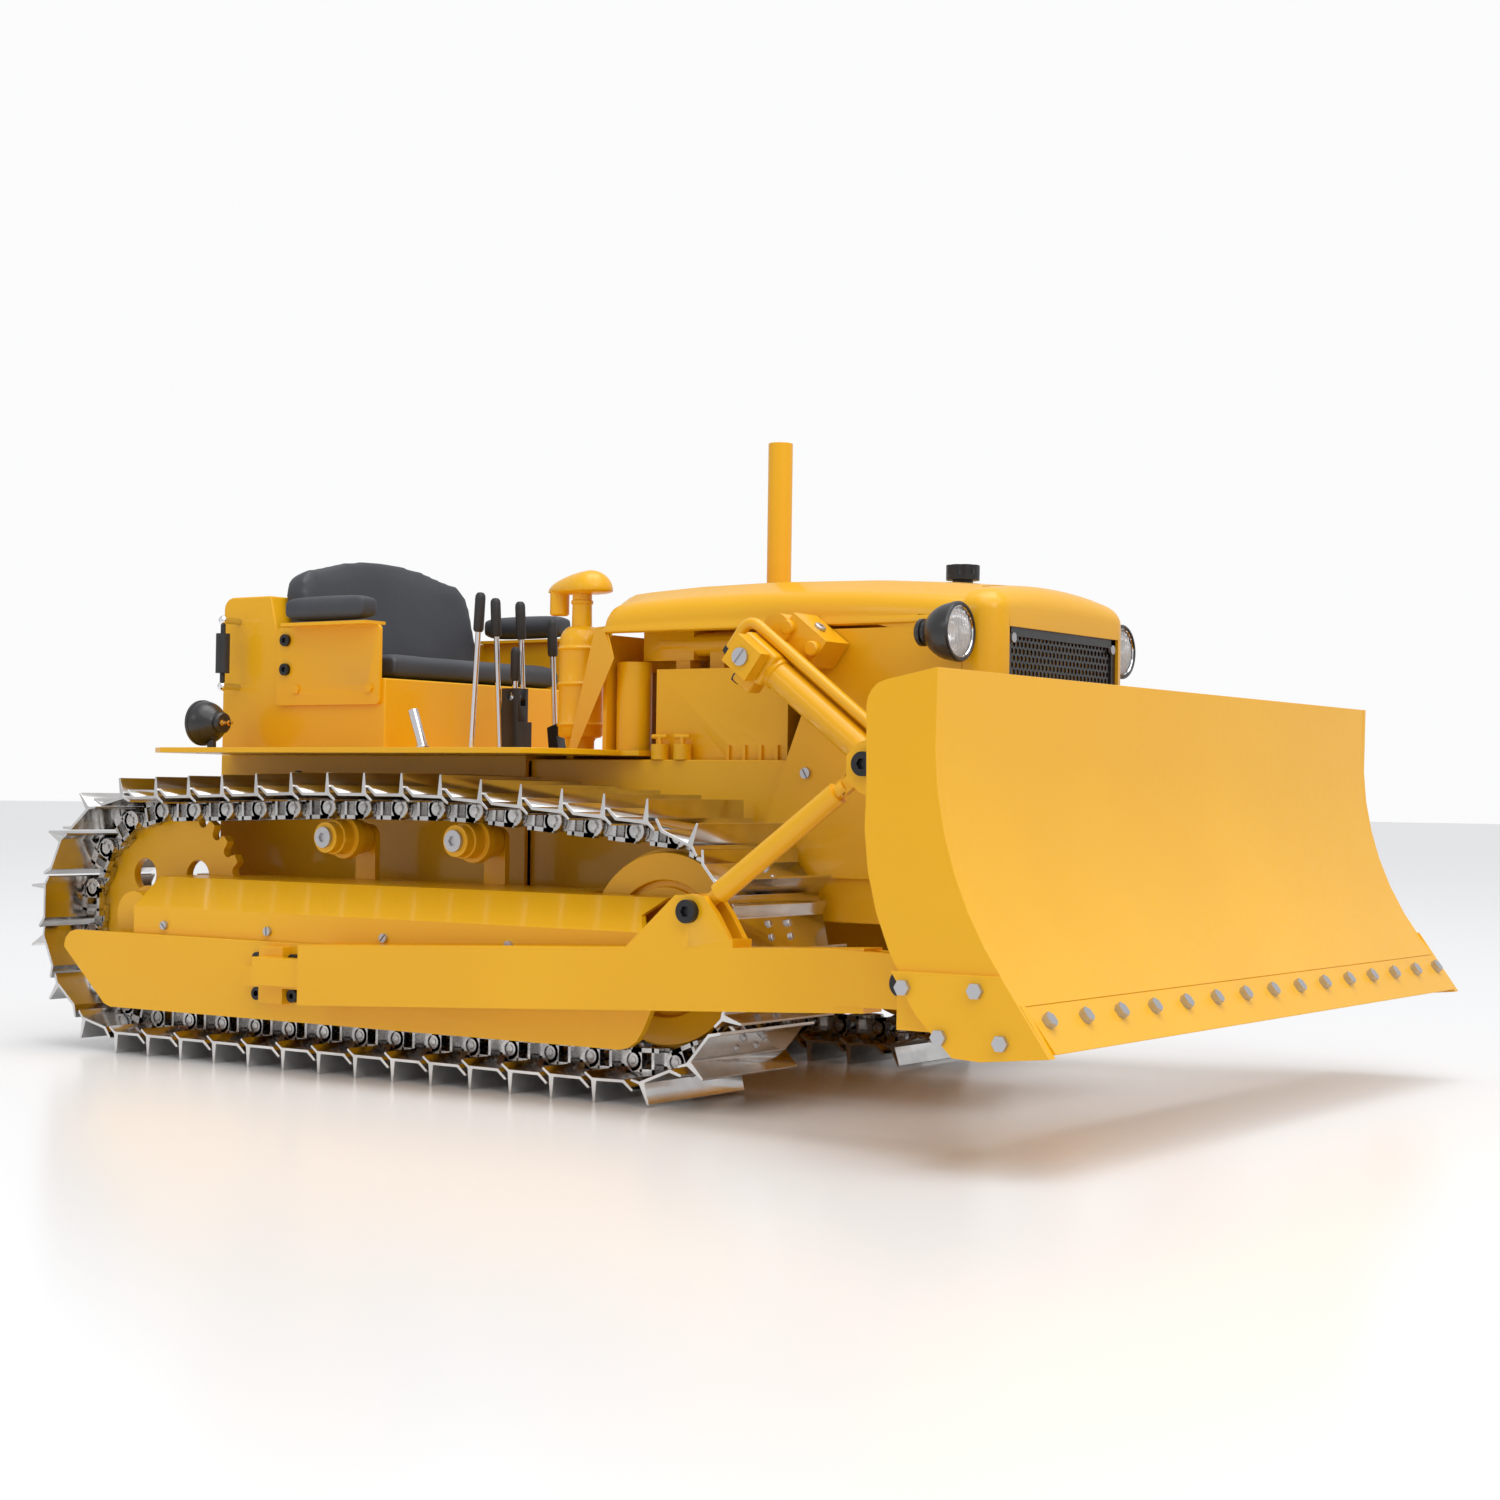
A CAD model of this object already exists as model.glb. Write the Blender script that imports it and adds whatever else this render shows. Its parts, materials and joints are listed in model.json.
"""The finished looks of a radio-controlled crawler bulldozer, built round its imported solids.

Every piece is in metres in the row frame: +X forward, +Y to the operator's left, +Z up, with
the ground at z = 0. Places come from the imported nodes' boxes. Sheet metal and castings are the
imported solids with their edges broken; the hood, lamps, grille, pads and turned parts are made new.
"""

import json
import logging
import math
from dataclasses import dataclass
from enum import Enum

import bmesh
import bpy
from mathutils import Matrix, Vector

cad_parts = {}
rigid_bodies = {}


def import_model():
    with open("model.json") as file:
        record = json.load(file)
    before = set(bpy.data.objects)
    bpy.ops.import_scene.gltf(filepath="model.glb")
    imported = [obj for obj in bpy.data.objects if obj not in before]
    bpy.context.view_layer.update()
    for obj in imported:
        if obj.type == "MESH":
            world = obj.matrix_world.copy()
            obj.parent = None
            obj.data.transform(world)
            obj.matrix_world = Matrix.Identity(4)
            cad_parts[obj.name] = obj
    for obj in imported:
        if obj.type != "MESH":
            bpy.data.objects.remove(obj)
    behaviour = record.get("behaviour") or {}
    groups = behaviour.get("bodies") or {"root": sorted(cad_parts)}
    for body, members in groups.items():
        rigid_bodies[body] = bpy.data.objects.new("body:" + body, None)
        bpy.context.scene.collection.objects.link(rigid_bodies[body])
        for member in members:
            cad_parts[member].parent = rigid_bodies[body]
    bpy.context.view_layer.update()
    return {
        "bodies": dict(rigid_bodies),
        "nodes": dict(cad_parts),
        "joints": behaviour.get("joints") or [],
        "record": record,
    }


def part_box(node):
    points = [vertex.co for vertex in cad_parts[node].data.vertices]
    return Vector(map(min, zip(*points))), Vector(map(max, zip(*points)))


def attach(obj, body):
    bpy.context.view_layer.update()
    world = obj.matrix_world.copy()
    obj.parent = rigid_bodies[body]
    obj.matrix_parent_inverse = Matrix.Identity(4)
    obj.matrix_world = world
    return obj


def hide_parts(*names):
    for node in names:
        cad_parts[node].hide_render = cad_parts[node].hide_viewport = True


log = logging.getLogger("bulldozer")
MM = 0.001
AHEAD, ACROSS, UP = Vector((1, 0, 0)), Vector((0, 1, 0)), Vector((0, 0, 1))
EXHAUST_X = 186.3                   # the exhaust's place, forward of the sprocket axle, in mm
MERGE = 4e-6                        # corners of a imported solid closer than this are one


class Grain(Enum):
    """How a finish's fine pattern lies on the surface."""

    EVEN = (1.0, 1.0, 1.0)
    ALONG_Y = (1.0, 0.06, 1.0)


@dataclass(frozen=True)
class Finish:
    """One surface finish, made of noise on object coordinates."""

    name: str
    slot: str
    color: tuple[float, float, float]
    shade: tuple[float, float, float]
    metallic: float = 0.0
    roughness: tuple[float, float] = (0.35, 0.45)
    coat: float = 0.0
    coat_roughness: float = 0.1
    patch_scale: float = 14.0
    grain_scale: float = 900.0
    grain: Grain = Grain.EVEN
    bump: float = 0.000012
    transmission: float = 0.0
    specular: float = 0.5

    def material(self) -> bpy.types.Material:
        """Makes the material, or returns it if it is there already.

        Returns:
            The Blender material of this finish.
        """
        made = bpy.data.materials.get(self.name)
        if made:
            return made
        made = bpy.data.materials.new(self.name)
        made.use_nodes = True
        tree = made.node_tree
        shader = tree.nodes["Principled BSDF"]
        set_inputs(shader, Metallic=self.metallic, Coat_Weight=self.coat,
                   Coat_Roughness=self.coat_roughness, Transmission_Weight=self.transmission,
                   Specular_IOR_Level=self.specular)
        place = tree.nodes.new("ShaderNodeTexCoord")
        patches = self._noise(tree, place, (1, 1, 1), self.patch_scale, 3)
        grain = self._noise(tree, place, self.grain.value, self.grain_scale, 4)
        ramp = tree.nodes.new("ShaderNodeValToRGB")
        ramp.color_ramp.elements[0].position = 0.35
        ramp.color_ramp.elements[1].position = 0.68
        ramp.color_ramp.elements[0].color = (*self.shade, 1)
        ramp.color_ramp.elements[1].color = (*self.color, 1)
        tree.links.new(patches.outputs["Fac"], ramp.inputs["Fac"])
        tree.links.new(ramp.outputs["Color"], shader.inputs["Base Color"])
        rough = tree.nodes.new("ShaderNodeMapRange")
        set_inputs(rough, From_Min=0.3, From_Max=0.7, To_Min=self.roughness[0],
                   To_Max=self.roughness[1])
        tree.links.new(grain.outputs["Fac"], rough.inputs["Value"])
        tree.links.new(rough.outputs["Result"], shader.inputs["Roughness"])
        bump = tree.nodes.new("ShaderNodeBump")
        set_inputs(bump, Strength=0.5, Distance=self.bump)
        tree.links.new(grain.outputs["Fac"], bump.inputs["Height"])
        tree.links.new(bump.outputs["Normal"], shader.inputs["Normal"])
        return made

    def _noise(self, tree: bpy.types.NodeTree, place: bpy.types.Node,
               stretch: tuple[float, float, float], scale: float, detail: float) -> bpy.types.Node:
        """Adds a noise on stretched object coordinates.

        Args:
            tree: the material's nodes.
            place: the texture coordinate node.
            stretch: scale along each axis.
            scale: features per metre.
            detail: octaves.

        Returns:
            The noise node.
        """
        mapping = tree.nodes.new("ShaderNodeMapping")
        set_inputs(mapping, Scale=stretch)
        noise = tree.nodes.new("ShaderNodeTexNoise")
        set_inputs(noise, Scale=scale, Detail=detail)
        tree.links.new(place.outputs["Object"], mapping.inputs["Vector"])
        tree.links.new(mapping.outputs["Vector"], noise.inputs["Vector"])
        return noise


PAINT = Finish("yellow_enamel", "yellow_paint", (0.87, 0.445, 0.005), (0.83, 0.415, 0.004),
               roughness=(0.30, 0.40), coat=0.28, coat_roughness=0.08, grain_scale=420.0,
               bump=0.000018, specular=0.3)
TRACK = Finish("polished_track_steel", "track_steel", (0.72, 0.71, 0.70), (0.58, 0.57, 0.56),
               metallic=1.0, roughness=(0.12, 0.24), grain_scale=500.0, grain=Grain.ALONG_Y,
               patch_scale=90.0, bump=0.00001)
LINK = Finish("cast_link_steel", "track_steel", (0.62, 0.61, 0.60), (0.42, 0.41, 0.40),
              metallic=1.0, roughness=(0.18, 0.32), grain_scale=700.0, patch_scale=120.0,
              bump=0.000006)
BOLT = Finish("bolt_steel", "bolt_steel", (0.58, 0.56, 0.54), (0.42, 0.40, 0.38),
              metallic=1.0, roughness=(0.26, 0.40), grain_scale=1400.0, patch_scale=200.0)
CHROME = Finish("polished_chrome", "chrome", (0.78, 0.78, 0.80), (0.70, 0.70, 0.72),
                metallic=1.0, roughness=(0.06, 0.12), grain_scale=900.0, bump=0.000004)
OXIDE = Finish("black_oxide", "black_steel", (0.022, 0.022, 0.024), (0.012, 0.012, 0.014),
               metallic=0.3, roughness=(0.30, 0.42), grain_scale=1500.0, patch_scale=200.0)
BLACK = Finish("satin_black", "black_plastic", (0.018, 0.018, 0.020), (0.011, 0.011, 0.013),
               roughness=(0.30, 0.42), grain_scale=1200.0, patch_scale=80.0, coat=0.2)
GRIP = Finish("grip_rubber", "black_plastic", (0.022, 0.022, 0.025), (0.014, 0.014, 0.016),
              roughness=(0.50, 0.62), grain_scale=1600.0, patch_scale=150.0, bump=0.00003)
VINYL = Finish("grey_vinyl", "vinyl", (0.046, 0.050, 0.060), (0.034, 0.037, 0.046),
               roughness=(0.48, 0.62), grain_scale=1500.0, patch_scale=40.0, bump=0.00005)
WRAP = Finish("battery_wrap", "battery_wrap", (0.02, 0.12, 0.60), (0.015, 0.09, 0.5),
              roughness=(0.25, 0.35), grain_scale=300.0)
MOTOR = Finish("plated_can", "motor_steel", (0.50, 0.50, 0.52), (0.42, 0.42, 0.44),
               metallic=1.0, roughness=(0.25, 0.35), grain_scale=900.0)
GLASS = Finish("lamp_glass", "lens", (0.96, 0.97, 0.98), (0.92, 0.93, 0.94),
               roughness=(0.03, 0.06), transmission=0.5, bump=0.000002)
MIRROR = Finish("lamp_reflector", "chrome", (0.90, 0.90, 0.91), (0.84, 0.84, 0.86),
                metallic=1.0, roughness=(0.04, 0.08), bump=0.000002)
BRASS = Finish("brass_terminal", "bolt_steel", (0.72, 0.50, 0.18), (0.60, 0.40, 0.12),
               metallic=1.0, roughness=(0.20, 0.30), grain_scale=1500.0)


def place_in_scene(name: str, data: bpy.types.ID) -> bpy.types.Object:
    """Makes an object of some data and puts it in the scene.

    Args:
        name: the object's name.
        data: its mesh, light or camera.

    Returns:
        The object.
    """
    made = bpy.data.objects.new(name, data)
    bpy.context.scene.collection.objects.link(made)
    return made


def set_inputs(node: bpy.types.Node, **values: object) -> None:
    """Sets sockets of a node, with underscores in place of the spaces in their names.

    Args:
        node: the node.
        values: socket names and the constants they get.
    """
    for name, value in values.items():
        node.inputs[name.replace("_", " ")].default_value = value


class Piece:
    """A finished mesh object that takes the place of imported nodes."""

    def __init__(self, name: str, finish: Finish, body: str, replaced: tuple[str, ...] = ()) -> None:
        """Names the piece and starts an empty mesh.

        Args:
            name: the piece's name.
            finish: its surface.
            body: the moving body that it rides on.
            replaced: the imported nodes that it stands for.
        """
        self.name, self.finish, self.body, self.replaced = name, finish, body, replaced
        self.mesh = bmesh.new()

    def done(self, smooth_angle: float = 32.0, level: int = 0) -> bpy.types.Object:
        """Turns the mesh into an object that rides on its body.

        Args:
            smooth_angle: edges sharper than this stay crisp, in degrees.
            level: subdivision steps.

        Returns:
            The finished object.
        """
        bmesh.ops.remove_doubles(self.mesh, verts=self.mesh.verts, dist=2e-6)
        bmesh.ops.recalc_face_normals(self.mesh, faces=self.mesh.faces)
        data = bpy.data.meshes.new(self.name)
        self.mesh.to_mesh(data)
        self.mesh.free()
        made = place_in_scene(self.name, data)
        data.shade_smooth()
        data.set_sharp_from_angle(angle=math.radians(smooth_angle))
        if level:
            subdivision = made.modifiers.new("rounder", "SUBSURF")
            subdivision.levels = subdivision.render_levels = level
        data.materials.append(self.finish.material())
        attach(made, self.body)
        if self.replaced:
            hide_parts(*self.replaced)
        log.info("%s: %d faces on %s", self.name, len(data.polygons), self.body)
        return made


@dataclass(frozen=True)
class BrokenEdges:
    """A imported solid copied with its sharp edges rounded, as paint or polishing leaves them."""

    node: str
    body: str
    finish: Finish
    width: float = 0.35 * MM
    segments: int = 2
    edge_angle: float = 34.0
    accent: Finish | None = None
    accent_low: tuple[float, float, float] = (0.0, 0.0, 0.0)
    accent_high: tuple[float, float, float] = (0.0, 0.0, 0.0)

    def build(self) -> bpy.types.Object:
        """Copies, merges, rounds and dresses the solid.

        Returns:
            The finished object.
        """
        piece = Piece(self.node + "_finished", self.finish, self.body, (self.node,))
        piece.mesh.from_mesh(bpy.data.objects[self.node].data)
        bmesh.ops.remove_doubles(piece.mesh, verts=piece.mesh.verts, dist=MERGE)
        bmesh.ops.dissolve_limit(piece.mesh, angle_limit=math.radians(0.6), verts=piece.mesh.verts,
                                 edges=piece.mesh.edges)
        made = piece.done(self.edge_angle)
        if self.accent:
            made.data.materials.append(self.accent.material())
            for face in made.data.polygons:
                spot = Vector((face.center.x, abs(face.center.y), face.center.z)) / MM
                face.material_index = int(all(a <= v <= b for a, v, b in
                                              zip(self.accent_low, spot, self.accent_high)))
        rounding = made.modifiers.new("rounding", "BEVEL")
        rounding.width = self.width
        rounding.segments = self.segments
        rounding.limit_method = "ANGLE"
        rounding.angle_limit = math.radians(self.edge_angle)
        rounding.harden_normals = True
        rounding.use_clamp_overlap = True
        rounding.miter_outer = "MITER_ARC"
        return made


def lathe(mesh: bmesh.types.BMesh, profile: list[tuple[float, float]], centre: Vector,
          axis: Vector, steps: int = 40, material: int = 0) -> None:
    """Turns a profile about an axis.

    Args:
        mesh: where the turned surface goes.
        profile: (radius, distance along the axis) pairs, in millimetres.
        centre: the axis point that the distances start from.
        axis: the turning axis.
        steps: facets round the axis.
        material: material index of the new faces.
    """
    axis = axis.normalized()
    out = axis.orthogonal().normalized()
    verts = [mesh.verts.new(centre + axis * along * MM + out * radius * MM)
             for radius, along in profile]
    edges = [mesh.edges.new(pair) for pair in zip(verts, verts[1:])]
    before = set(mesh.faces)
    bmesh.ops.spin(mesh, geom=verts + edges, cent=centre, axis=axis, angle=math.tau,
                   steps=steps, use_merge=True)
    for face in mesh.faces:
        if face not in before:
            face.material_index = material


def block(mesh: bmesh.types.BMesh, low: Vector, high: Vector, turn: Matrix = Matrix(),
          material: int = 0) -> list[bmesh.types.BMVert]:
    """Adds a box between two corners.

    Args:
        mesh: where the box goes.
        low: lowest corner, in millimetres.
        high: highest corner, in millimetres.
        turn: placement applied afterwards, in metres.
        material: material index of its faces.

    Returns:
        The box's vertices.
    """
    size, middle = (Vector(high) - Vector(low)) * MM, (Vector(high) + Vector(low)) * MM / 2
    made = bmesh.ops.create_cube(mesh, size=1.0, matrix=turn @ Matrix.Translation(middle)
                                 @ Matrix.Diagonal((*size, 1.0)))["verts"]
    for face in {f for v in made for f in v.link_faces}:
        face.material_index = material
    return made


@dataclass(frozen=True)
class Layout:
    """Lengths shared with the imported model, in millimetres from the sprocket axle."""

    shift: float
    pitch: float = 14.4
    links: int = 41
    sprocket_links: int = 14
    shoe_top: float = 4.3
    grouser: float = 10.1
    half_link: float = 3.4
    track_y: float = 63.0
    idler_rim: float = 25.9
    carriers: tuple[float, float] = (74.0, 125.0)
    carrier_z: float = 68.0

    def at(self, x: float, y: float, z: float) -> Vector:
        """Returns a point of the row frame, in metres."""
        return Vector((x * MM + self.shift, y * MM, z * MM))

    def chain(self) -> list[tuple[Vector, float]]:
        """Walks the chain's pins round the sprocket, the carrier rollers and the idler.

        Returns:
            Each pin's (x, z) and the angle of the link that starts there.
        """
        sprocket = self.pitch / (2 * math.sin(math.pi / self.sprocket_links))
        idler = math.hypot(self.idler_rim + self.half_link + 0.35, self.pitch / 2)
        small = 5.1 + self.half_link + 0.5

        def circles(front: float) -> list[tuple[Vector, float]]:
            """Returns the path's circles for an idler at front."""
            return [(Vector((0, self.grouser + sprocket)), sprocket),
                    *((Vector((x, self.carrier_z)), small) for x in self.carriers),
                    (Vector((front, self.grouser + idler)), idler)]

        def route(front: float) -> list[Vector]:
            """Returns the path as a fine polyline."""
            rings = circles(front)
            leave = []
            for (c1, r1), (c2, r2) in zip(rings, rings[1:]):
                d = c2 - c1
                leave.append(math.atan2(d.y, d.x) + math.acos((r1 - r2) / d.length))
            leave.append(-math.pi / 2)
            points, start = [], 1.5 * math.pi
            for (centre, radius), end in zip(rings, leave):
                count = max(2, int(abs(start - end) * radius / 0.15))
                points += [centre + radius * Vector((math.cos(a), math.sin(a))) for a in
                           (start + (end - start) * k / count for k in range(count + 1))]
                start = end
            return points + [points[0]]

        def walk(front: float) -> tuple[list[Vector], float]:
            """Returns the pins, and how far the last one is past the first."""
            points = route(front)
            here, index = points[0], 0
            pins = [here]
            for _ in range(self.links):
                while index < len(points) - 2 and (points[index + 1] - here).length < self.pitch:
                    index += 1
                a, d = points[index], points[index + 1] - points[index]
                f = a - here
                half_b, c = f.dot(d), f.dot(f) - self.pitch ** 2
                share = (-half_b + math.sqrt(max(0.0, half_b ** 2 - d.dot(d) * c))) / d.dot(d)
                here = a + d * share
                pins.append(here)
            return pins, points[0].x - pins[-1].x

        low, high = 190.0, 204.0
        for _ in range(30):
            middle = (low + high) / 2
            low, high = (middle, high) if walk(middle)[1] > 0 else (low, middle)
        pins = walk((low + high) / 2)[0]
        return [(a, math.atan2((b - a).y, (b - a).x)) for a, b in zip(pins, pins[1:])]


@dataclass
class TrackChains:
    """The forged links with their pins, and the bolts that hold the shoes."""

    layout: Layout
    plate_in: tuple[float, float] = (1.8, 3.7)
    plate_out: tuple[float, float] = (3.9, 6.0)
    pin_radius: float = 1.15
    boss_radius: float = 3.25

    def build(self) -> None:
        """Repeats one link round both tracks."""
        links = Piece("track_links_forged", LINK, "chassis", ("track_links",))
        bolts = Piece("shoe_bolts", BOLT, "chassis")
        pattern, heads = bmesh.new(), bmesh.new()
        self._link(pattern)
        self._heads(heads)
        one, bolt = bpy.data.meshes.new("one_link"), bpy.data.meshes.new("one_bolt_set")
        pattern.to_mesh(one)
        heads.to_mesh(bolt)
        pattern.free()
        heads.free()
        for side in (-1, 1):
            for pin, angle in self.layout.chain():
                place = Matrix.Translation(self.layout.at(pin.x, side * self.layout.track_y, pin.y))
                place = place @ Matrix.Rotation(-angle, 4, "Y")
                for piece, source in ((links, one), (bolts, bolt)):
                    first = len(piece.mesh.verts)
                    piece.mesh.from_mesh(source)
                    piece.mesh.verts.ensure_lookup_table()
                    bmesh.ops.transform(piece.mesh, matrix=place, verts=piece.mesh.verts[first:])
        links.done(40.0)
        bolts.done(40.0)
        bpy.data.meshes.remove(one)
        bpy.data.meshes.remove(bolt)

    def _link(self, mesh: bmesh.types.BMesh) -> None:
        """Makes one link: two cranked side plates with bosses, a bushing and a pin.

        Args:
            mesh: where the link goes, with its rear pin at the origin.
        """
        pitch, half = self.layout.pitch, self.layout.half_link
        (a0, a1), (b0, b1) = self.plate_in, self.plate_out
        for s in (-1, 1):
            lathe(mesh, [(0, s * a0), (3.1, s * a0), (3.1, s * a1), (0, s * a1)], Vector(), ACROSS, 12)
            lathe(mesh, [(0, s * (b1 + 0.25)), (self.pin_radius, s * (b1 + 0.15)),
                         (self.pin_radius, s * (b1 - 0.5)), (1.9, s * (b1 - 0.5)), (2.0, s * b1),
                         (self.boss_radius - 0.25, s * b1), (self.boss_radius, s * (b1 - 0.3)),
                         (self.boss_radius, s * b0), (0, s * b0)],
                  Vector((pitch * MM, 0, 0)), ACROSS, 14)
            for low, high in (
                    ((1.5, a0, -2.6), (9, a1, 1.4)), ((5.6, a0, 1.0), (9, a1, half)),
                    ((3.6, a0, -half), (9, a1, -2.2)), ((7, a1, -half), (9, b0, half)),
                    ((5.4, b0, -half), (pitch, b1, -2.2)), ((7, b0, -half), (7.9, b1, half)),
                    ((7, b0, 2.3), (11.9, b1, half)),
                    ((11.2, b0, -half), (pitch + 0.4, b1, half - 0.2))):
                edges = [Vector((low[0], s * low[1], low[2])), Vector((high[0], s * high[1], high[2]))]
                block(mesh, Vector(map(min, *edges)), Vector(map(max, *edges)))
        lathe(mesh, [(1.75, -a0), (1.75, a0)], Vector(), ACROSS, 12)

    def _heads(self, mesh: bmesh.types.BMesh) -> None:
        """Makes the four shoe bolts of one link.

        Args:
            mesh: where the bolts go.
        """
        top = self.layout.shoe_top
        for along in (7.4, 11.0):
            for aside in (-4.6, 4.6):
                lathe(mesh, [(1.0, -0.3), (1.0, 0.55), (0.75, 0.8), (0, 0.8)],
                      Vector((along, aside, top)) * MM, UP, 6)


@dataclass
class SprocketTeeth:
    """The toothed rim of a drive wheel, whose teeth reach between the bushings at rest."""

    layout: Layout
    side: int
    bushing: float = 1.75
    half_width: float = 1.4
    rise: float = 1.6
    depth: float = 4.2

    def build(self) -> None:
        """Makes the rim on its wheel's body."""
        body = "sprocket_right" if self.side < 0 else "sprocket_left"
        teeth = 2 * self.layout.sprocket_links
        radius = self.layout.pitch / (2 * math.sin(math.pi / self.layout.sprocket_links))
        axle = self.layout.grouser + radius
        root = self.bushing + 0.15
        gap = [(self.rise, -2.5), (0.2, -root), *((-root * math.cos(math.radians(a)),
               root * math.sin(math.radians(a))) for a in (-60, -30, 0, 30, 60)), (0.2, root),
               (self.rise, 2.5)]
        rim = Piece(f"{body}_teeth", PAINT, body)
        rings = []
        for k in range(teeth):
            turn = -math.pi / 2 + 2 * math.pi * k / teeth
            for out, aside in gap:
                outer = Vector((radius + out, aside))
                inner = outer.normalized() * (radius - self.depth)
                ring = []
                for point, level in ((outer, -1), (inner, -1), (inner, 1), (outer, 1)):
                    x = point.x * math.cos(turn) - point.y * math.sin(turn)
                    z = point.x * math.sin(turn) + point.y * math.cos(turn) + axle
                    y = self.side * self.layout.track_y + level * self.half_width
                    ring.append(rim.mesh.verts.new(self.layout.at(x, y, z)))
                rings.append(ring)
        for a, b in zip(rings, rings[1:] + rings[:1]):
            for i in range(4):
                rim.mesh.faces.new((a[i], a[(i + 1) % 4], b[(i + 1) % 4], b[i]))
        rim.done(30.0)


@dataclass
class Bonnet:
    """The engine hood, the radiator shell with its grille, and the exhaust."""

    layout: Layout
    skin: float = 0.6
    shoulder: float = 6.5
    crown: tuple[tuple[float, float], ...] = (
        (0.0, 140.0), (1.2, 141.0), (4, 141.9), (10, 142.4), (28, 143.3), (52, 143.6), (84, 142.9),
        (106, 141.5), (119.7, 140.2))

    def build(self) -> None:
        """Builds the pieces."""
        self._hood()
        self._shell()
        self._grille()

    def _section(self, top: float, half: float, edge: float) -> list[tuple[float, float]]:
        """Returns one cross-section from the right edge to the left edge.

        Args:
            top: height in the middle, in millimetres.
            half: half width.
            edge: height of the lower edge.

        Returns:
            (y, z) points.
        """
        side, r = top - 4.2, self.shoulder
        wall = -half + 0.5
        right = [(wall + 1.3, edge + 0.1), (wall + 0.3, edge), (-half, edge + 0.5), (-half, edge + 1.5),
                 (wall, edge + 2.3), (wall, (edge + 2.3 + side - r) / 2), (wall, side - r)]
        right += [(wall + r - r * math.cos(a), side - r + r * math.sin(a))
                  for a in (math.radians(k * 11.5) for k in range(1, 8))]
        right += [(-half * k, top - 3.1 * k ** 2.2) for k in (0.72, 0.58, 0.44, 0.3, 0.15)]
        return right + [(0.0, top)] + [(-y, z) for y, z in reversed(right)]

    def _hood(self) -> None:
        """Lofts the pressed hood over its crown line and thickens it inwards."""
        low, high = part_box("hood")
        hood = Piece("hood_pressing", PAINT, "chassis", ("hood",))
        half, edge, rear = high.y / MM, low.z / MM, low.x / MM
        rows = []
        for along, top in self.crown:
            inset = 2.2 * max(0.0, 1 - along / 4.0) ** 2
            rows.append([hood.mesh.verts.new(Vector(((rear + along), y, z)) * MM) for y, z in
                         self._section(top, half - inset * 0.4, edge)])
        for a, b in zip(rows, rows[1:]):
            for k in range(len(a) - 1):
                hood.mesh.faces.new((a[k], b[k], b[k + 1], a[k + 1]))
        bmesh.ops.recalc_face_normals(hood.mesh, faces=hood.mesh.faces)
        bmesh.ops.solidify(hood.mesh, geom=list(hood.mesh.faces), thickness=self.skin * MM)
        self._flange(hood, EXHAUST_X, 3.9)
        made = hood.done(50.0)
        trim = made.modifiers.new("rounding", "BEVEL")
        trim.width, trim.segments, trim.limit_method = 0.3 * MM, 2, "ANGLE"
        trim.angle_limit = math.radians(50)

    def _flange(self, piece: Piece, along: float, radius: float) -> None:
        """Leaves a raised flange where the pipe passes the hood.

        Args:
            piece: the hood.
            along: the pipe's place from the axle, in millimetres.
            radius: the flange's inner radius.
        """
        lathe(piece.mesh, [(radius, -1.0), (radius, 0.5), (radius + 0.8, 0.5), (radius + 1.0, -0.8)],
              self.layout.at(along, 0, 143.5), UP, 32)

    def _shell(self) -> None:
        """Presses the radiator shell with its deep grille recess."""
        low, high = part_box("radiator_shell")
        g_low, g_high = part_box("grille")
        shell = Piece("radiator_shell_pressing", PAINT, "chassis", ("radiator_shell",))
        m = shell.mesh
        block(m, low / MM, high / MM)
        front = [e for e in m.edges if all(v.co.x > high.x - 1e-5 for v in e.verts)
                 and (abs(e.verts[0].co.y - e.verts[1].co.y) < 1e-6
                      or e.verts[0].co.z > high.z - 1e-5)]
        shoulders = [e for e in m.edges if all(v.co.z > high.z - 1e-5 for v in e.verts)
                     and abs(e.verts[0].co.y - e.verts[1].co.y) < 1e-6]
        bmesh.ops.bevel(m, geom=list(set(front + shoulders)), offset=7.2 * MM, segments=8,
                        profile=0.5, affect="EDGES", clamp_overlap=True, material=-1)
        face = max(m.faces, key=lambda f: f.calc_area() if f.normal.x > 0.9 else 0)
        cut = bmesh.ops.extrude_discrete_faces(m, faces=[face])["faces"][0]
        for vert, target in zip(self._ordered(cut), ((g_low.y, g_low.z), (g_high.y, g_low.z),
                                                     (g_high.y, g_high.z), (g_low.y, g_high.z))):
            vert.co.y, vert.co.z = target
        made = bmesh.ops.extrude_face_region(m, geom=[cut])
        bmesh.ops.translate(m, vec=(-7.5 * MM, 0, 0),
                            verts=[v for v in made["geom"] if isinstance(v, bmesh.types.BMVert)])
        bmesh.ops.delete(m, geom=[cut], context="FACES_ONLY")
        outer = [e for e in m.edges if e.is_boundary]
        bmesh.ops.bridge_loops(m, edges=outer)
        for y in range(-30, 31, 6):
            bmesh.ops.bisect_plane(m, geom=m.verts[:] + m.edges[:] + m.faces[:], dist=1e-7,
                                   plane_co=(0, y * MM, 0), plane_no=(0, 1, 0))
        for v in m.verts:
            share = min(1.0, max(0.0, (v.co.z - high.z + 12 * MM) / (12 * MM)))
            v.co.z -= share * 3.2 * MM * (abs(v.co.y) / high.y) ** 2.2
        shell.done(35.0)

    @staticmethod
    def _ordered(face: bmesh.types.BMFace) -> list[bmesh.types.BMVert]:
        """Returns a face's four corners, from low right round by low left."""
        mid = face.calc_center_median()
        return sorted(face.verts, key=lambda v: math.atan2(v.co.z - mid.z, v.co.y - mid.y))

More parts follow.
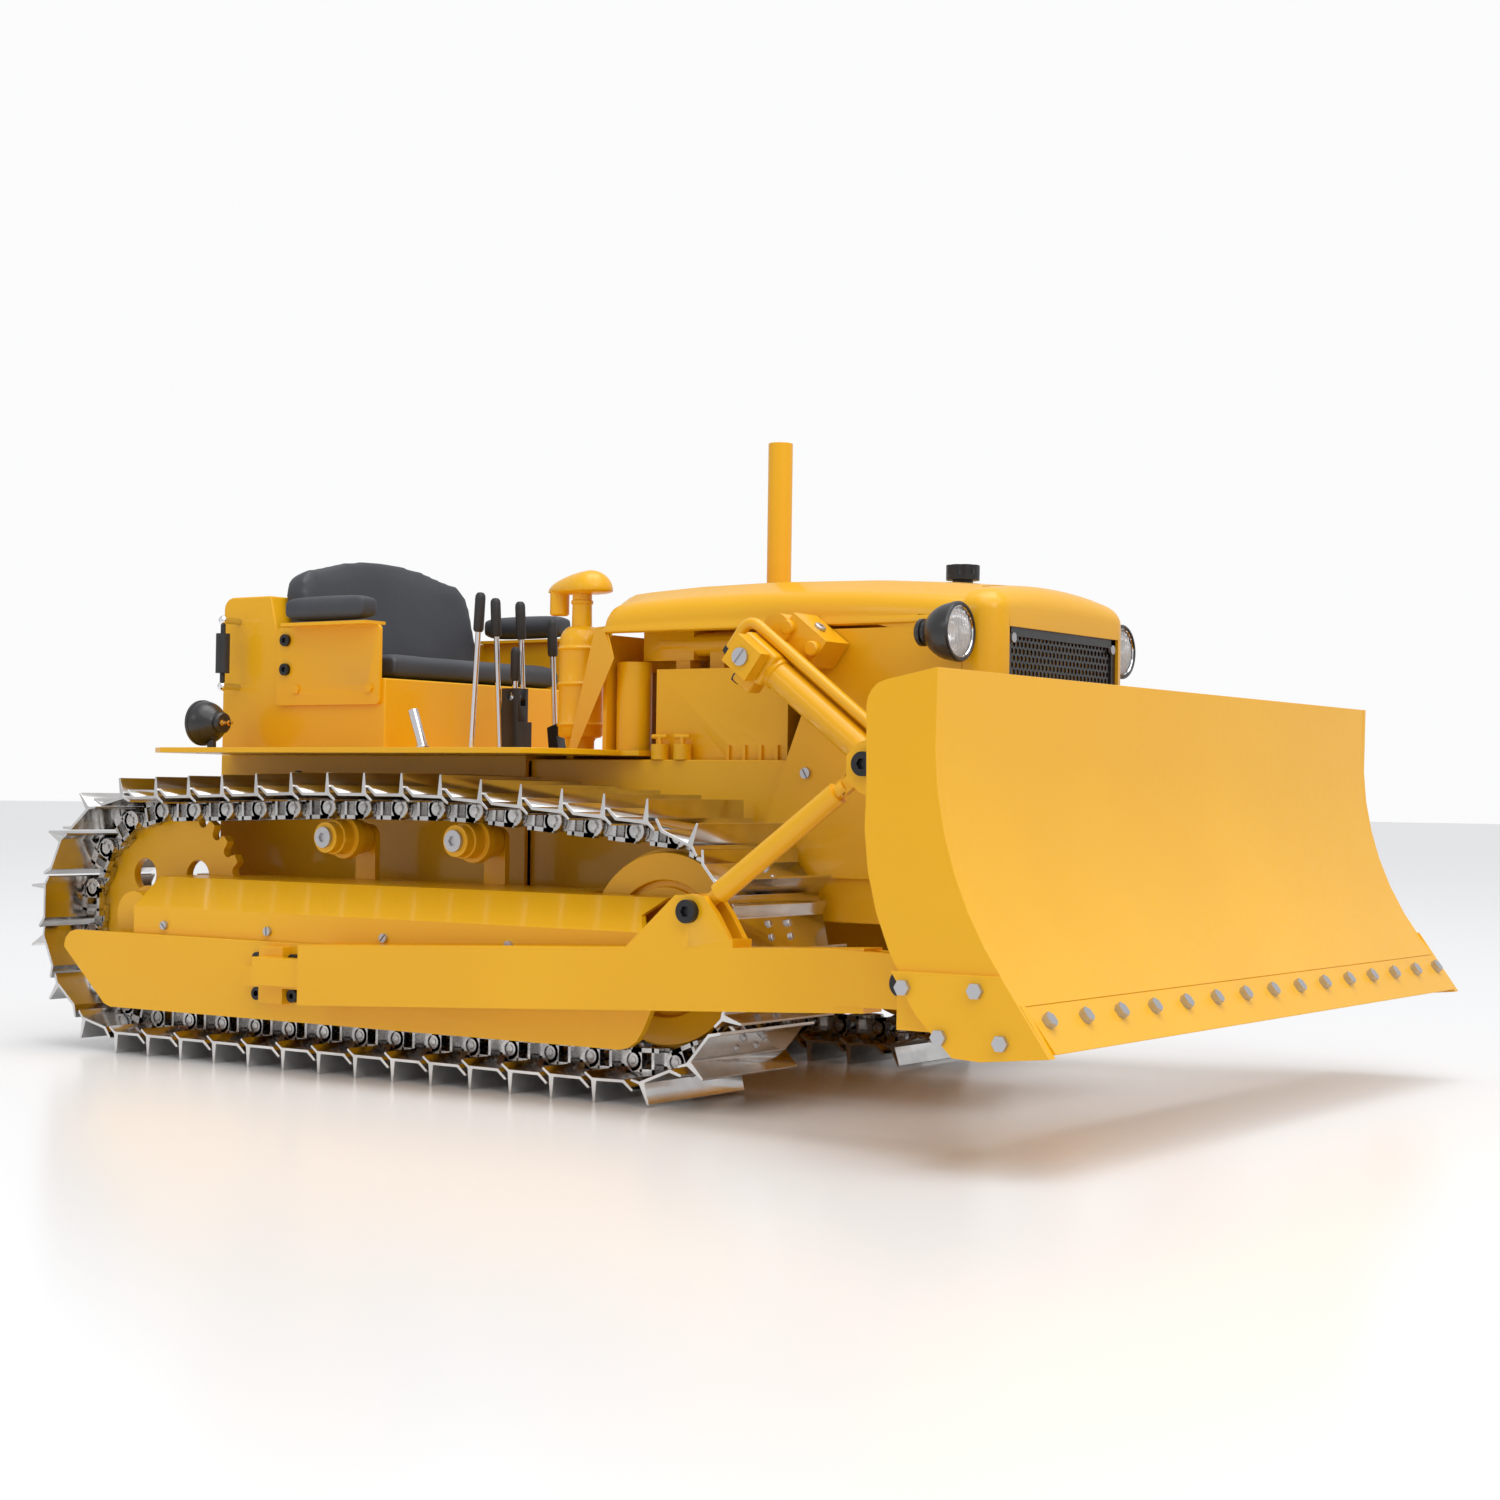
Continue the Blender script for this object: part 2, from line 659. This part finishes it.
    def _grille(self, across: float = 2.15, web: float = 0.42) -> None:
        """Perforates a thin plate with offset rows of round-cornered holes.

        Args:
            across: distance between holes, in millimetres.
            web: metal left between them.
        """
        low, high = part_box("grille")
        plate = Piece("grille_perforated", BLACK, "chassis", ("grille",))
        m, x = plate.mesh, (low.x + high.x) / 2
        step_y, step_z = across * MM, across * MM * math.sqrt(3) / 2
        border = 1.6 * MM
        rows = int((high.z - low.z - 2 * border) / step_z) - 1
        columns = int((high.y - low.y - 2 * border) / step_y) - 1
        start = Vector((x, -columns * step_y / 2, (low.z + high.z) / 2 - rows * step_z / 2))
        outer, inner = across * MM / math.sqrt(3), across * MM / math.sqrt(3) - web * MM
        for row in range(rows + 1):
            for column in range(columns + (1 if row % 2 == 0 else 0)):
                spot = start + Vector((0, (column + (row % 2) * 0.5) * step_y, row * step_z))
                rings = [[m.verts.new(spot + Vector((0, r * math.sin(a), r * math.cos(a))))
                          for a in (math.tau * k / 6 for k in range(6))] for r in (outer, inner)]
                for k in range(6):
                    m.faces.new((rings[0][k], rings[0][k - 1], rings[1][k - 1], rings[1][k]))
        bmesh.ops.remove_doubles(m, verts=m.verts, dist=0.02 * MM)
        bmesh.ops.solidify(m, geom=list(m.faces), thickness=0.5 * MM)
        for a, b in ((Vector((low.x, low.y, low.z)), Vector((high.x, low.y + 2.6 * MM, high.z))),
                     (Vector((low.x, high.y - 2.6 * MM, low.z)), Vector((high.x, high.y, high.z))),
                     (Vector((low.x, low.y, low.z)), Vector((high.x, high.y, low.z + 2.4 * MM))),
                     (Vector((low.x, low.y, high.z - 2.4 * MM)), Vector((high.x, high.y, high.z)))):
            block(m, a / MM, b / MM)
        plate.done(30.0)


@dataclass
class Lamps:
    """Two headlights on the nose and a work lamp at the rear."""

    layout: Layout
    head: tuple[float, float, float] = (273.8, 47.3, 125.2)
    work: tuple[float, float, float] = (10.0, -61.0, 102.6)

    def build(self) -> None:
        """Builds the lamps."""
        shells = Piece("lamp_bowls", BLACK, "chassis", ("lamp_shells",))
        mirrors = Piece("lamp_reflectors", MIRROR, "chassis")
        lenses = Piece("lamp_lenses_fluted", GLASS, "chassis", ("lamp_lenses",))
        rims = Piece("lamp_rims", CHROME, "chassis")
        x, y, z = self.head
        for side in (-1, 1):
            self._lamp(shells, mirrors, lenses, rims, self.layout.at(x, side * y, z), 1.0, 7.9, 11.0)
            lathe(shells.mesh, [(1.6, 0), (1.6, 3)], self.layout.at(x - 4.5, side * 39, z),
                  Vector((0, side, 0)), 20)
        self._lamp(shells, mirrors, lenses, rims, self.layout.at(*self.work), -1.0, 7.2, 9.0)
        wx, wy, wz = self.work
        lathe(shells.mesh, [(1.4, 0), (1.4, 3), (2.2, 3.2), (2.2, 4.2)],
              self.layout.at(wx + 3.5, wy, 94.6), UP, 20)
        shells.done()
        mirrors.done()
        lenses.done(60)
        rims.done()
        brass = Piece("lamp_terminals", BRASS, "chassis")
        for aside in (-1.4, 1.4):
            lathe(brass.mesh, [(0.9, 0), (0.9, 1.2), (0.5, 1.3), (0.5, 2.6), (0, 2.8)],
                  self.layout.at(wx + 8.4, wy + aside, wz), AHEAD, 14)
        brass.done()

    def _lamp(self, shells: Piece, mirrors: Piece, lenses: Piece, rims: Piece, face: Vector,
              ahead: float, r: float, deep: float) -> None:
        """Turns one lamp.

        Args:
            shells: piece for the bowl.
            mirrors: piece for the reflector.
            lenses: piece for the lens.
            rims: piece for the bright ring.
            face: middle of the lens plane.
            ahead: 1 for a lamp that faces forward, -1 for one that faces back.
            r: outer radius.
            deep: depth of the bowl.
        """
        axis = Vector((ahead, 0, 0))
        neck = 0.46 * r
        bowl = [(0, -deep), (neck - 0.5, -deep), (neck, -deep + 0.5), (neck, -deep * 0.86),
                (neck - 0.6, -deep * 0.84), (neck - 0.6, -deep * 0.76), (neck + 0.2, -deep * 0.72)]
        bowl += [((r - 0.25) * math.sin(a), -deep * 0.8 * math.cos(a)) for a in
                 (math.radians(k) for k in (36, 44, 52, 60, 68, 76, 84))]
        lathe(shells.mesh, bowl + [(r - 0.25, 0), (r, 0.1), (r, 1.1), (r - 0.4, 1.55), (r - 0.9, 1.55),
                                   (r - 1.1, 1.2), (r - 1.1, -0.3)], face, axis, 48)
        lathe(rims.mesh, [(r - 1.1, 0.6), (r - 1.12, 1.25), (r - 1.3, 1.3), (r - 1.5, 1.0)],
              face, axis, 48)
        lathe(mirrors.mesh, [(0, -deep * 0.72)] + [
            ((r - 1.1) * math.sin(a), -deep * 0.72 * math.cos(a)) for a in
            (math.radians(k) for k in (20, 40, 60, 75, 88))], face, axis, 40)
        first = len(lenses.mesh.verts)
        rings = [(r - 1.05) * k / 26 for k in range(27)]
        lathe(lenses.mesh, [(k, 1.1 - 0.9 * (k / r) ** 2) for k in rings], face, axis, 72)
        lenses.mesh.verts.ensure_lookup_table()
        for vert in lenses.mesh.verts[first:]:
            vert.co.x += ahead * 0.3 * MM * math.cos(math.tau * (vert.co.y - face.y) / (1.5 * MM))


@dataclass(frozen=True)
class Lever:
    """A chrome rod with a black grip, turning on the bar under the deck."""

    body: str
    place: tuple[float, float]
    lean: float
    pivot_z: float
    top: float
    rod: float = 0.85
    grip: float = 1.6
    grip_length: float = 12.0

    def build(self, layout: Layout) -> None:
        """Turns the rod and grip.

        Args:
            layout: the shared lengths.
        """
        length = self.top - self.pivot_z
        foot = layout.at(self.place[0], self.place[1], self.pivot_z)
        axis = Matrix.Rotation(math.radians(self.lean), 3, "Y") @ UP
        rod = Piece(self.body + "_rod", CHROME, self.body, (self.body,))
        lathe(rod.mesh, [(0, 0), (self.rod, 0), (self.rod, length - self.grip_length)], foot, axis, 20)
        lathe(rod.mesh, [(1.25, -1.2), (2.2, -1.2), (2.4, -1.0), (2.4, 1.0), (2.2, 1.2), (1.25, 1.2),
                         (1.25, -1.2)], foot, ACROSS, 24)
        rod.done()
        g, start = self.grip, length - self.grip_length
        black = Piece(self.body + "_grip", GRIP, self.body)
        lathe(black.mesh, [(self.rod, start - 0.2), (g * 0.8, start), (g, start + 0.6),
                           (g, length - 1.8), (g * 0.92, length - 0.9), (g * 0.6, length - 0.2),
                           (0, length)], foot, axis, 24)
        black.done()


@dataclass(frozen=True)
class Pad:
    """One vinyl pad: a slightly small copy of its block, blown up by a short cloth run."""

    name: str
    node: str
    side: int = 0
    shrink: float = 0.9 * MM
    grown: float = 12.0
    voxel: float = 1.0
    cap: float = 1.0
    pressure: float = 4.0
    fill: float = 0.8
    smoothing: int = 8

    def build(self) -> None:
        """Copies, rounds, swells and dresses the pad."""
        piece = Piece(self.name, VINYL, "chassis", (self.node,))
        m = piece.mesh
        m.from_mesh(bpy.data.objects[self.node].data)
        bmesh.ops.remove_doubles(m, verts=m.verts, dist=MERGE)
        if self.side:
            away = [v for v in m.verts if v.co.y * self.side < 0]
            bmesh.ops.delete(m, geom=away, context="VERTS")
        bmesh.ops.dissolve_limit(m, angle_limit=math.radians(1), verts=m.verts, edges=m.edges)
        low = Vector(map(min, *(v.co for v in m.verts)))
        high = Vector(map(max, *(v.co for v in m.verts)))
        middle = (low + high) / 2
        size = high - low
        for v in m.verts:
            for k in range(3):
                v.co[k] = middle[k] + (v.co[k] - middle[k]) * (1 - 2 * self.shrink / size[k])
        bmesh.ops.scale(m, vec=(self.grown,) * 3, verts=m.verts)
        data = bpy.data.meshes.new(self.name)
        m.to_mesh(data)
        m.free()
        pad = place_in_scene(self.name, data)
        self._swell(pad)
        data = pad.data
        data.transform(Matrix.Scale(1 / self.grown, 4))
        soft = bmesh.new()
        soft.from_mesh(data)
        for v in soft.verts:
            for k in range(3):
                v.co[k] = min(max(v.co[k], low[k]), high[k])
        for _ in range(self.smoothing):
            bmesh.ops.smooth_vert(soft, verts=soft.verts, factor=0.5, use_axis_x=True, use_axis_y=True,
                                  use_axis_z=True)
        soft.to_mesh(data)
        soft.free()
        data.shade_smooth()
        rounder = pad.modifiers.new("rounder", "SUBSURF")
        rounder.levels = rounder.render_levels = 1
        data.materials.clear()
        data.materials.append(VINYL.material())
        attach(pad, "chassis")
        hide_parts(self.node)
        log.info("%s: padded, %d faces", self.name, len(data.polygons))

    def _swell(self, pad: bpy.types.Object) -> None:
        """Remeshes the pad finely and lets pressure round it, within a cap.

        Args:
            pad: the enlarged pad object.
        """
        remesh = pad.modifiers.new("even", "REMESH")
        remesh.mode = "VOXEL"
        remesh.voxel_size = self.voxel * self.grown * MM
        remesh.use_smooth_shade = True
        self._apply(pad)
        rest = [v.co.copy() for v in pad.data.vertices]
        cloth = pad.modifiers.new("swelling", "CLOTH")
        cloth.settings.use_pressure = True
        cloth.settings.uniform_pressure_force = self.pressure
        cloth.settings.quality = 4
        cloth.settings.tension_stiffness = 12
        cloth.settings.compression_stiffness = 12
        cloth.settings.bending_stiffness = 0.6
        cloth.settings.effector_weights.gravity = 0
        for frame in range(1, 21):
            bpy.context.scene.frame_set(frame)
        self._apply(pad)
        bpy.context.scene.frame_set(1)
        limit = self.cap * self.grown * MM
        for vert, start in zip(pad.data.vertices, rest):
            move = vert.co - start
            if move.length > limit:
                vert.co = start + move.normalized() * limit

    @staticmethod
    def _apply(pad: bpy.types.Object) -> None:
        """Applies the pad's modifiers to its mesh."""
        graph = bpy.context.evaluated_depsgraph_get()
        fixed = bpy.data.meshes.new_from_object(pad.evaluated_get(graph))
        pad.modifiers.clear()
        pad.data = fixed


@dataclass
class AirCleaner:
    """The turned pre-cleaner can with its teardrop weather cap."""

    layout: Layout
    place: tuple[float, float] = (134.0, -27.0)

    def build(self) -> None:
        """Turns the can and shapes the cap."""
        x, y = self.place
        can = Piece("air_cleaner_turned", PAINT, "chassis", ("air_cleaner",))
        rows = [(0, 94.6), (4.2, 94.6), (4.2, 97.6), (4.7, 98.4), (6.2, 98.8), (6.6, 99.4)]
        for bead in (102.4, 114.4, 125.0):
            rows += [(6.6, bead - 0.9)] + [(6.6 + 0.5 * math.sin(a), bead - 0.5 * math.cos(a))
                                           for a in (math.radians(k) for k in (20, 55, 90, 125, 160))]
            rows += [(6.6, bead + 0.9)]
        rows += [(2.9 + 3.7 * math.cos(a), 126.5 + 5.2 * math.sin(a))
                 for a in (math.radians(k) for k in (0, 15, 30, 45, 60, 75, 88))]
        rows += [(2.9, 138.2), (3.3, 138.5), (3.3, 139.3), (2.9, 139.6), (2.9, 143)]
        lathe(can.mesh, rows, self.layout.at(x, y, 0), UP, 48)
        cap = bmesh.ops.create_uvsphere(can.mesh, u_segments=36, v_segments=18, radius=1.0)["verts"]
        for v in cap:
            back = max(0.0, -v.co.x)
            wide = 6.6 * (1 - 0.42 * back ** 1.3)
            v.co = self.layout.at(x + 3.2 + v.co.x * (6.6 if v.co.x > 0 else 16.0), y + v.co.y * wide,
                                  142.3 + v.co.z * (6.1 - 1.6 * back if v.co.z > 0 else 1.1))
        outlet = self.layout.at(x - 8.6, y, 142.2)
        lathe(can.mesh, [(2.4, -7.0), (2.9, -6.6), (2.9, 0.5)], outlet, UP, 32)
        lathe(can.mesh, [(2.4, -7.0), (2.4, -2.0), (0, -2.0)], outlet, UP, 32)
        can.done(36.0)


@dataclass
class LiftCylinder:
    """One blade cylinder: barrel, head block, oil pipe and rail, and the fittings on its bracket."""

    layout: Layout
    side: int
    top: tuple[float, float] = (220.0, 118.7)
    foot: tuple[float, float] = (307.0, 53.2)
    aside: float = 58.0
    barrel: float = 4.1
    length: float = 62.0
    pipe: float = 1.55

    def build(self) -> None:
        """Builds the barrel's piece and the bracket's small parts."""
        hand = "right" if self.side < 0 else "left"
        body = "lift_barrel_" + hand
        shell = Piece(body + "_turned", PAINT, body, (body,))
        place = self._frame()
        self._tube(shell.mesh)
        self._blocks(shell.mesh)
        self._pipe(shell.mesh)
        bmesh.ops.transform(shell.mesh, matrix=place, verts=shell.mesh.verts)
        shell.done(36.0)
        fitting = Piece("oil_fittings_" + hand, OXIDE, body)
        for spot, axis in (((-9.6, 0, -5.4), UP), ((-4.0, 0, -8.4), AHEAD)):
            lathe(fitting.mesh, [(0, 0), (1.5, 0), (1.8, 0.3), (1.8, 1.9), (1.5, 2.2), (0, 2.2)],
                  Vector(spot) * MM, axis, 6)
        bmesh.ops.transform(fitting.mesh, matrix=place, verts=fitting.mesh.verts)
        fitting.done(30.0)
        lugs = Piece("bracket_lugs_" + hand, PAINT, "chassis")
        screw = Piece("bracket_screw_" + hand, BOLT, "chassis")
        for along in (-3.6, 6.2):
            lathe(lugs.mesh, [(2.1, -0.4), (2.1, 1.4), (1.7, 1.8), (0, 1.8)],
                  Vector((along + 1.6, 7.4, 9.4)) * MM, -ACROSS, 24)
        lathe(screw.mesh, [(1.7, -0.2), (1.7, 0.7), (1.4, 0.95), (0.5, 0.95), (0.5, 0.4), (0, 0.4)],
              Vector((3.4, 12.0, 13.4)) * MM, UP, 24)
        for piece in (lugs, screw):
            bmesh.ops.transform(piece.mesh, matrix=place, verts=piece.mesh.verts)
            piece.done(34.0)

    def _frame(self) -> Matrix:
        """Returns the placement of the cylinder's own axes: X down the barrel, Y inwards."""
        tilt = math.atan2(self.foot[1] - self.top[1], self.foot[0] - self.top[0])
        turn = Matrix.Rotation(-tilt, 4, "Y")
        spot = self.layout.at(self.top[0], -self.aside, self.top[1])
        mirror = Matrix.Scale(-1, 4, ACROSS) if self.side > 0 else Matrix()
        return mirror @ Matrix.Translation(spot) @ turn

    def _tube(self, mesh: bmesh.types.BMesh) -> None:
        """Turns the barrel with its gland nut.

        Args:
            mesh: where it goes.
        """
        r, end = self.barrel, self.length
        rows = [(r + 0.5, 5.6), (r + 0.5, 7.4), (r, 7.8), (r, end - 5.4), (r + 0.7, end - 5),
                (r + 0.7, end - 0.4), (r + 0.4, end), (2.1, end), (2.1, end - 2)]
        lathe(mesh, rows, Vector(), AHEAD, 48)

    def _blocks(self, mesh: bmesh.types.BMesh) -> None:
        """Adds the head block, the oil rail and the lower port.

        Args:
            mesh: where they go.
        """
        for low, high, radius in (((-6, -4.6, -4.9), (6.5, 4.6, 4.9), 1.3),
                                  ((1, 1.7, 3), (self.length - 5, 4.7, 7.2), 1.2),
                                  ((-3, -3, -9), (4, 3, -4), 1.0)):
            verts = block(mesh, Vector(low), Vector(high))
            edges = {e for v in verts for e in v.link_edges}
            bmesh.ops.bevel(mesh, geom=list(edges), offset=radius * MM, segments=4, profile=0.5,
                            affect="EDGES", clamp_overlap=True, material=-1)

    def _pipe(self, mesh: bmesh.types.BMesh) -> None:
        """Bends the rigid oil pipe over the head and down the barrel.

        Args:
            mesh: where it goes.
        """
        corners = [Vector(p) for p in ((-9.6, 0, -5), (-9.6, 0, 6.6), (self.length - 6, 0, 6.6),
                                       (self.length - 6, 0, 3))]
        points = [corners[0]]
        for before, here, after in zip(corners, corners[1:], corners[2:]):
            reach = min(4.2, (after - here).length * 0.7)
            a = here + (before - here).normalized() * reach
            b = here + (after - here).normalized() * reach
            points += [a.lerp(here, t).lerp(here.lerp(b, t), t) for t in (k / 8 for k in range(9))]
        points.append(corners[-1])
        rings = []
        for k, spot in enumerate(points):
            ahead = (points[min(k + 1, len(points) - 1)] - points[max(k - 1, 0)]).normalized()
            turn = AHEAD.rotation_difference(ahead).to_matrix().to_4x4()
            place = Matrix.Translation(spot * MM) @ turn @ Matrix.Rotation(math.pi / 2, 4, "Y")
            ring = bmesh.ops.create_circle(mesh, segments=20, radius=self.pipe * MM, matrix=place)
            rings.append(list({e for v in ring["verts"] for e in v.link_edges}))
        for a, b in zip(rings, rings[1:]):
            bmesh.ops.bridge_loops(mesh, edges=a + b)


class Studio:
    """The pale floor, the soft light and the camera."""

    def __init__(self, shift: float) -> None:
        """Keeps the offset from the sprocket axle to the row's origin."""
        self.shift = shift

    def camera(self) -> None:
        """Places the camera low beside the front corner of the machine."""
        azimuth, pitch, roll = math.radians(34.828), math.radians(-1.193), math.radians(0.7946)
        back = Vector((math.sin(azimuth) * math.cos(pitch), -math.cos(azimuth) * math.cos(pitch),
                       math.sin(pitch)))
        right = (-back).cross(UP).normalized()
        up = right.cross(-back)
        level = Matrix((right, up, back)).transposed()
        turned = level @ Matrix.Rotation(roll, 3, "Z")
        data = bpy.data.cameras.new("camera")
        data.sensor_width = 36.0
        data.lens = 59.49
        data.shift_x = 0.00533
        data.shift_y = -0.00267
        data.clip_start, data.clip_end = 0.01, 50.0
        made = place_in_scene("camera", data)
        made.matrix_world = Matrix.Translation(
            (594.459 * MM + self.shift, -604.515 * MM, 81.467 * MM)) @ turned.to_4x4()
        bpy.context.scene.camera = made

    def floor(self) -> None:
        """Lays a wide pale floor with a soft gloss."""
        mesh = bmesh.new()
        bmesh.ops.create_grid(mesh, x_segments=1, y_segments=1, size=12.0)
        data = bpy.data.meshes.new("floor")
        mesh.to_mesh(data)
        mesh.free()
        made = place_in_scene("floor", data)
        pale = bpy.data.materials.new("pale_floor")
        pale.use_nodes = True
        shader = pale.node_tree.nodes["Principled BSDF"]
        set_inputs(shader, Base_Color=(0.93, 0.93, 0.935, 1), Roughness=0.22, Specular_IOR_Level=0.3)
        data.materials.append(pale)

    def lights(self) -> None:
        """Hangs large soft boxes and sets an even pale surround."""
        for name, spot, size, power in (
                ("overhead", (0.1, 0.1, 1.5), 1.0, 7.0),
                ("front", (1.5, -0.7, 0.9), 0.6, 3.5),
                ("side", (-0.6, -1.5, 0.8), 0.5, 1.5)):
            data = bpy.data.lights.new(name, "AREA")
            data.shape = "SQUARE"
            data.size = size
            data.energy = power
            lamp = place_in_scene(name, data)
            lamp.location = spot
            lamp.rotation_mode = "QUATERNION"
            lamp.rotation_quaternion = (Vector(spot) - Vector((0, 0, 0.06))).to_track_quat("Z", "Y")
        sky = bpy.data.lights.new("ceiling", "SUN")
        sky.energy = 1.5
        sky.angle = math.radians(70)
        lamp = place_in_scene("ceiling", sky)
        lamp.rotation_mode = "QUATERNION"
        lamp.rotation_quaternion = Vector((0.45, -0.2, 1.0)).to_track_quat("Z", "Y")
        world = bpy.data.worlds.new("pale_surround")
        world.use_nodes = True
        tree = world.node_tree
        around = tree.nodes["Background"]
        set_inputs(around, Color=(0.93, 0.95, 0.97, 1), Strength=0.5)
        seen = tree.nodes.new("ShaderNodeBackground")
        set_inputs(seen, Color=(0.97, 0.97, 0.975, 1))
        shiny = tree.nodes.new("ShaderNodeBackground")
        set_inputs(shiny, Color=(0.70, 0.70, 0.71, 1))
        ray = tree.nodes.new("ShaderNodeLightPath")
        glint = tree.nodes.new("ShaderNodeMixShader")
        mix = tree.nodes.new("ShaderNodeMixShader")
        tree.links.new(ray.outputs["Is Glossy Ray"], glint.inputs["Fac"])
        tree.links.new(around.outputs["Background"], glint.inputs[1])
        tree.links.new(shiny.outputs["Background"], glint.inputs[2])
        tree.links.new(ray.outputs["Is Camera Ray"], mix.inputs["Fac"])
        tree.links.new(glint.outputs["Shader"], mix.inputs[1])
        tree.links.new(seen.outputs["Background"], mix.inputs[2])
        tree.links.new(mix.outputs["Shader"], tree.nodes["World Output"].inputs["Surface"])
        bpy.context.scene.world = world
        bpy.context.scene.view_settings.view_transform = "Standard"


@dataclass
class Fabrications:
    """The sheet metal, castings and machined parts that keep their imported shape."""

    fine: float = 0.15 * MM
    medium: float = 0.35 * MM
    broad: float = 0.6 * MM

    def build(self, bodies: dict[str, list[str]]) -> None:
        """Dresses each of these nodes.

        Args:
            bodies: body names with the nodes in each.
        """
        body_of = {node: body for body, nodes in bodies.items() for node in nodes}
        widths = {"deck": self.fine, "side_panels": self.medium, "moldboard": self.medium,
                  "end_plates": self.medium, "track_covers": self.fine, "braces": self.fine,
                  "armrest_brackets": self.fine, "rear_case": self.broad, "seat_box": self.broad,
                  "hood": self.medium, "radiator_shell": self.broad, "air_cleaner": self.fine,
                  "exhaust_pipe": self.fine, "lift_brackets": 0.9 * MM, "engine_block": 0.5 * MM}
        for node in ("main_frame", "rear_case", "deck", "side_panels", "engine_block",
                     "exhaust_pipe", "seat_box", "armrest_brackets",
                     "track_frames", "track_covers", "guard_plates", "lift_brackets", "drawbar",
                     "moldboard", "end_plates", "cutting_edge", "push_arms", "braces",
                     "sprocket_right", "sprocket_left", "idler_right", "idler_left",
                     *(n for n in body_of if "roller" in n)):
            BrokenEdges(node, body_of[node], PAINT, widths.get(node, self.medium)).build()
        BrokenEdges("track_shoes", "chassis", TRACK, 0.12 * MM, 1).build()
        for node in ("socket_screws", "radiator_cap"):
            BrokenEdges(node, body_of[node], OXIDE, self.fine).build()
        everywhere = 1000.0
        BrokenEdges("steel_screws", "chassis", BOLT, self.fine).build()
        BrokenEdges("blade_bolts", "blade", BOLT, 0.2 * MM, accent=OXIDE,
                    accent_low=(-everywhere, 80, 0), accent_high=(150, 106, everywhere)).build()
        BrokenEdges("control_pedestal", "chassis", BLACK, self.fine, accent=CHROME,
                    accent_low=(-everywhere, 43, 0), accent_high=(everywhere,) * 3).build()
        BrokenEdges("grab_handle", "chassis", CHROME, self.fine, accent=GRIP,
                    accent_low=(-everywhere, 49.6, 118),
                    accent_high=(everywhere, everywhere, 132)).build()
        for node in ("lift_rod_right", "lift_rod_left"):
            BrokenEdges(node, body_of[node], CHROME, self.fine).build()
        for node, finish in (("battery_pack", WRAP), ("motors_and_pump", MOTOR)):
            data = bpy.data.objects[node].data
            data.materials.clear()
            data.materials.append(finish.material())


def main() -> None:
    """Builds the whole machine and its studio."""
    logging.basicConfig(level=logging.INFO, format="%(message)s")
    for extra in ("Cube", "Light", "Camera"):
        if extra in bpy.data.objects:
            bpy.data.objects.remove(bpy.data.objects[extra])
    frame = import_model()
    bodies = frame["record"]["behaviour"]["bodies"]
    low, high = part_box("exhaust_pipe")
    shift = (low.x + high.x) / 2 - EXHAUST_X * MM
    studio = Studio(shift)
    studio.camera()
    studio.floor()
    studio.lights()
    Fabrications().build(bodies)
    layout = Layout(shift)
    TrackChains(layout).build()
    for side in (-1, 1):
        SprocketTeeth(layout, side).build()
    Bonnet(layout).build()
    Lamps(layout).build()
    AirCleaner(layout).build()
    for side in (-1, 1):
        LiftCylinder(layout, side).build()
    for lever in (Lever("clutch_lever", (95, -32), 3.4, 84, 143.0),
                  Lever("right_steering_lever", (95, -17), -3.4, 84, 142.6),
                  Lever("left_steering_lever", (95, -5), -3.5, 84, 142.4),
                  Lever("gear_lever", (95, 10), -3.0, 84, 137.8),
                  Lever("throttle_lever", (95, -11), 0.0, 112, 127.5, grip=1.5, grip_length=10.5)):
        lever.build(layout)
    for pad in (Pad("seat_cushion_pad", "seat_cushion"), Pad("seat_back_pad", "seat_back"),
                Pad("armrest_pad_right", "armrest_pads", -1),
                Pad("armrest_pad_left", "armrest_pads", 1)):
        pad.build()


if __name__ == "__main__":
    main()
